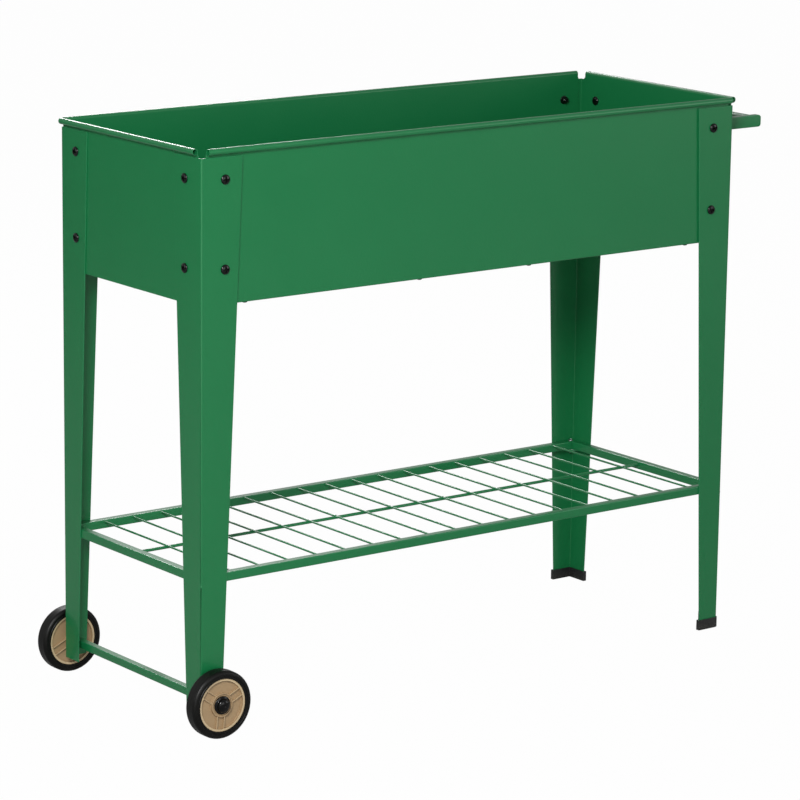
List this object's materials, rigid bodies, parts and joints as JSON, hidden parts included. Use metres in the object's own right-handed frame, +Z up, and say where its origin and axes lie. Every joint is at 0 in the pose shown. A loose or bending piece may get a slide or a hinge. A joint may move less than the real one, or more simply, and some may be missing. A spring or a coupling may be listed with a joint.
{
  "type": "rolling planter",
  "caption": "Narrow raised metal planting box on tapered legs with a wire shelf, rolling on wheels at one end and lifted by a handle at the other.",
  "frame": {"origin": "on the floor under the middle of the whole planter, halfway from the tyres' outer edge to the handle's tip", "axes": "+X from the wheels to the handle, +Y to the rear, +Z up"},
  "size_m": [1.051, 0.4148, 0.8024],
  "materials": {
    "green_paint": "satin green powder coat",
    "black_steel": "black coated steel",
    "zinc_steel": "zinc plated steel",
    "tyre_rubber": "black rubber",
    "hub_plastic": "moulded tan plastic",
    "cap_plastic": "glossy black plastic",
    "shoe_plastic": "matt black moulded plastic"
  },
  "bodies": {
    "chassis": {"axle_rod": "zinc_steel", "axle_tube": "green_paint", "floor_panel": "green_paint", "front_axle_cap": "cap_plastic", "front_handle_arm": "green_paint", "front_handle_leg": "green_paint", "front_handle_leg_bolt_end_lower": "black_steel", "front_handle_leg_bolt_side_lower": "black_steel", "front_handle_leg_bolt_side_upper": "black_steel", "front_handle_leg_nut_end_lower": "black_steel", "front_handle_leg_nut_side_lower": "black_steel", "front_handle_leg_nut_side_upper": "black_steel", "front_handle_screw": "black_steel", "front_panel": "green_paint", "front_shoe": "shoe_plastic", "front_washer": "zinc_steel", "front_wheel_leg": "green_paint", "front_wheel_leg_bolt_end_lower": "black_steel", "front_wheel_leg_bolt_end_upper": "black_steel", "front_wheel_leg_bolt_side_lower": "black_steel", "front_wheel_leg_bolt_side_upper": "black_steel", "front_wheel_leg_nut_end_lower": "black_steel", "front_wheel_leg_nut_end_upper": "black_steel", "front_wheel_leg_nut_side_lower": "black_steel", "front_wheel_leg_nut_side_upper": "black_steel", "handle_end_panel": "green_paint", "handle_grip": "green_paint", "rear_axle_cap": "cap_plastic", "rear_handle_arm": "green_paint", "rear_handle_leg": "green_paint", "rear_handle_leg_bolt_end_lower": "black_steel", "rear_handle_leg_bolt_side_lower": "black_steel", "rear_handle_leg_bolt_side_upper": "black_steel", "rear_handle_leg_nut_end_lower": "black_steel", "rear_handle_leg_nut_side_lower": "black_steel", "rear_handle_leg_nut_side_upper": "black_steel", "rear_handle_screw": "black_steel", "rear_panel": "green_paint", "rear_shoe": "shoe_plastic", "rear_washer": "zinc_steel", "rear_wheel_leg": "green_paint", "rear_wheel_leg_bolt_end_lower": "black_steel", "rear_wheel_leg_bolt_end_upper": "black_steel", "rear_wheel_leg_bolt_side_lower": "black_steel", "rear_wheel_leg_bolt_side_upper": "black_steel", "rear_wheel_leg_nut_end_lower": "black_steel", "rear_wheel_leg_nut_end_upper": "black_steel", "rear_wheel_leg_nut_side_lower": "black_steel", "rear_wheel_leg_nut_side_upper": "black_steel", "shelf_front_rail": "green_paint", "shelf_handle_end_rail": "green_paint", "shelf_rear_rail": "green_paint", "shelf_wheel_end_rail": "green_paint", "shelf_wire_grid": "green_paint", "wheel_end_panel": "green_paint"},
    "front_wheel": {"front_hub": "hub_plastic", "front_tyre": "tyre_rubber"},
    "rear_wheel": {"rear_hub": "hub_plastic", "rear_tyre": "tyre_rubber"}
  },
  "joints": [
    {"name": "front_wheel_spin", "type": "hinge", "parent": "chassis", "child": "front_wheel", "pos_m": [-0.4779, -0.1902, 0.0476], "axis": [0, 1, 0], "continuous": true},
    {"name": "rear_wheel_spin", "type": "hinge", "parent": "chassis", "child": "rear_wheel", "pos_m": [-0.4779, 0.1902, 0.0476], "axis": [0, 1, 0], "continuous": true}
  ]
}
